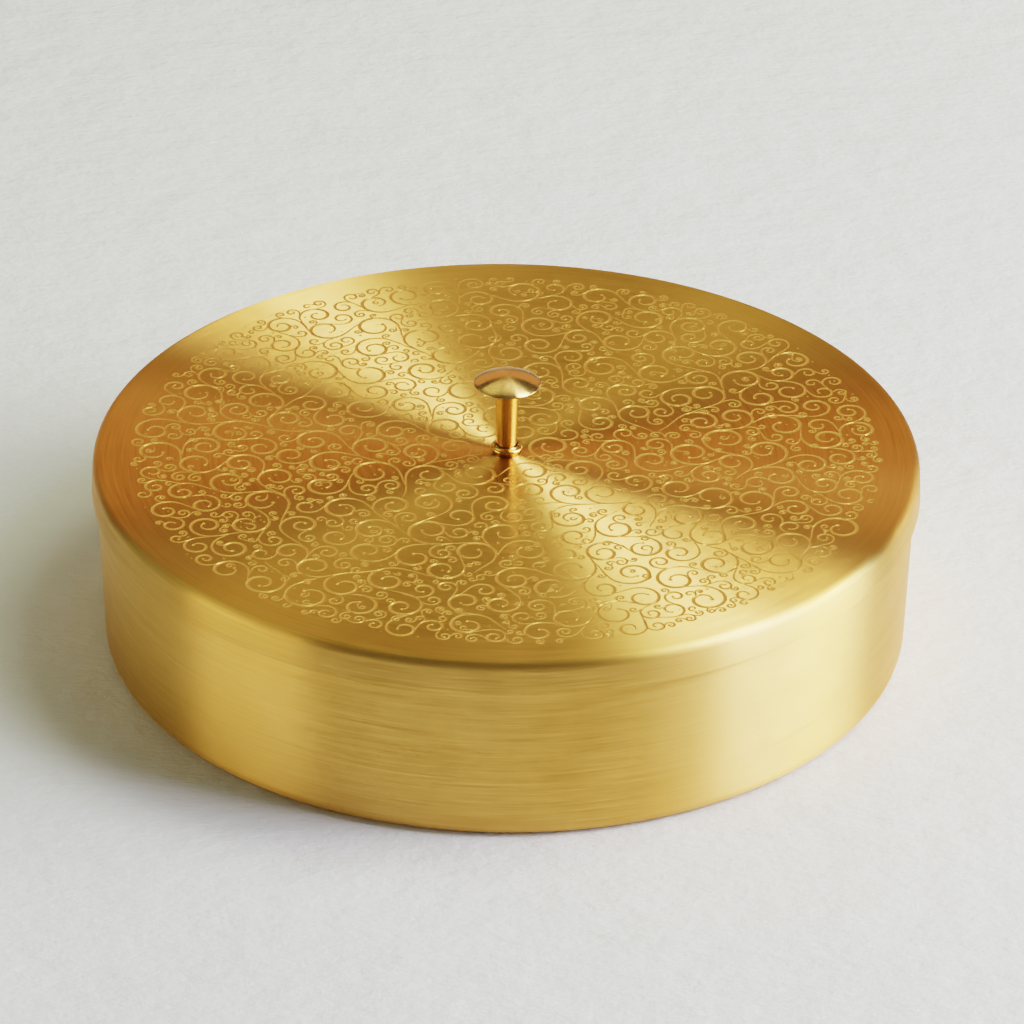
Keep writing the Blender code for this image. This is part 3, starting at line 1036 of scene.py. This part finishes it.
class SPICEBOX_OT_stage(Operator):
    """Set the table top, the lights and the camera"""

    bl_idname = "spicebox.stage"
    bl_label = "Stage"

    lamp_distance = 1.6
    camera_elevation = 30.76  # degrees above the table, and the next three are also in degrees
    camera_tilt = 1.0388  # above the middle of the foot
    camera_yaw = -0.066
    camera_roll = 0.69

    def execute(self, context):
        self.table_top()
        self.lights()
        self.camera()
        return {"FINISHED"}

    def table_top(self):
        mesh = bpy.data.meshes.new("table_top")
        half = 4.0
        corners = [(-half, -half, 0.0), (half, -half, 0.0), (half, half, 0.0), (-half, half, 0.0)]
        mesh.from_pydata(corners, [], [(0, 1, 2, 3)])
        mesh.materials.append(plaster("plaster", finish().floor))
        table = bpy.data.objects.new("table_top", mesh)
        bpy.context.scene.collection.objects.link(table)

    def lights(self):
        """A tall window of soft boxes on the right, with faint fills on the left and behind."""
        self.soft_box("window", -17, 40, (0.58, 1.25), 30.0, (0.81, 0.79, 1.0))
        self.soft_box("window_side", 2, 20, (0.62, 0.75), 20.0, (1.0, 0.92, 0.70))
        self.soft_box("window_foot", -8, 8, (1.50, 0.35), 25.0, (0.42, 0.60, 1.0))
        self.soft_box("window_top", 20, 64, (0.50, 0.60), 7.8, (0.90, 1.0, 0.82))
        self.soft_box("right_rear", 42, 10, (0.70, 0.40), 3.4, (1.0, 0.80, 0.66))
        self.soft_box("left_fill", 201, 11, (1.00, 0.50), 5.6, (1.0, 0.88, 0.68))
        self.soft_box("left_mid", 172, 32, (1.40, 0.60), 1.3, (0.80, 1.0, 0.80))
        self.soft_box("rear_top", 108, 60, (1.10, 0.70), 2.0, (1.0, 0.95, 0.64))
        self.soft_box("rear_glow", 92, 24, (1.80, 0.80), 2.3, (1.0, 0.50, 0.27))
        self.soft_box("rear_right", 66, 66, (0.70, 0.50), 0.8, (1.0, 0.95, 0.9))
        world = bpy.data.worlds.new("studio")
        world.use_nodes = True
        world.node_tree.nodes["Background"].inputs["Color"].default_value = (0.10, 0.108, 0.09, 1.0)
        bpy.context.scene.world = world
        bpy.context.scene.view_settings.view_transform = "Filmic"
        bpy.context.scene.view_settings.look = "High Contrast"

    def soft_box(self, name, azimuth, elevation, extent, watts, colour):
        """A rectangular lamp 1.6 m away that faces the foot of the box. Angles are in degrees."""
        light = bpy.data.lights.new(name, "AREA")
        light.shape = "RECTANGLE"
        light.size, light.size_y = extent
        light.energy = watts
        light.color = colour
        lamp = bpy.data.objects.new(name, light)
        turn = math.radians(azimuth)
        rise = math.radians(elevation)
        way = Vector((math.cos(rise) * math.cos(turn), math.cos(rise) * math.sin(turn), math.sin(rise)))
        lamp.location = way * self.lamp_distance
        lamp.rotation_euler = way.to_track_quat("Z", "Y").to_euler()
        bpy.context.scene.collection.objects.link(lamp)

    def camera(self):
        """A long lens, 15 times the lid's radius away, that looks a little over the foot of the box."""
        distance = 15.0 * LID_HIGH[0]
        elevation = math.radians(self.camera_elevation)
        lens = bpy.data.cameras.new("camera")
        lens.sensor_width = 36.0
        lens.lens = 215.2
        lens.clip_end = 50.0
        camera = bpy.data.objects.new("camera", lens)
        camera.location = (0.0, -distance * math.cos(elevation), distance * math.sin(elevation))
        pitch = Matrix.Rotation(math.radians(90.0 + self.camera_tilt) - elevation, 4, "X")
        yaw = Matrix.Rotation(math.radians(self.camera_yaw), 4, "Z")
        roll = Matrix.Rotation(math.radians(self.camera_roll), 4, "Z")
        turn = yaw @ pitch @ roll
        camera.rotation_euler = turn.to_euler()
        bpy.context.scene.collection.objects.link(camera)
        bpy.context.scene.camera = camera


class SPICEBOX_PT_maker(Panel):
    """Lists the pieces of the spice box"""

    bl_label = "Spice Box"
    bl_idname = "SPICEBOX_PT_maker"
    bl_space_type = "VIEW_3D"
    bl_region_type = "UI"
    bl_category = "Spice Box"

    def draw(self, context):
        column = self.layout.column(align=True)
        for piece in PIECES:
            column.operator(piece.bl_idname)
        for group in (context.scene.spice_box_sizes, context.scene.spice_box_finish):
            box = self.layout.box()
            for name in group.bl_rna.properties.keys():
                if name not in ("rna_type", "name"):
                    box.prop(group, name)


PIECES = (
    SPICEBOX_OT_box,
    SPICEBOX_OT_lid,
    SPICEBOX_OT_knob,
    SPICEBOX_OT_screw,
    SPICEBOX_OT_cups,
    SPICEBOX_OT_spoon,
    SPICEBOX_OT_stage,
)
CLASSES = (SpiceBoxSizes, SpiceBoxFinish, *PIECES, SPICEBOX_PT_maker)


def register():
    for each in CLASSES:
        bpy.utils.register_class(each)
    bpy.types.Scene.spice_box_sizes = PointerProperty(type=SpiceBoxSizes)
    bpy.types.Scene.spice_box_finish = PointerProperty(type=SpiceBoxFinish)


def unregister():
    del bpy.types.Scene.spice_box_finish
    del bpy.types.Scene.spice_box_sizes
    for each in reversed(CLASSES):
        bpy.utils.unregister_class(each)


def main():
    register()
    bpy.ops.spicebox.box()
    bpy.ops.spicebox.lid()
    bpy.ops.spicebox.knob()
    bpy.ops.spicebox.screw()
    bpy.ops.spicebox.cups()
    bpy.ops.spicebox.spoon()
    bpy.ops.spicebox.stage()


if __name__ == "__main__":
    main()
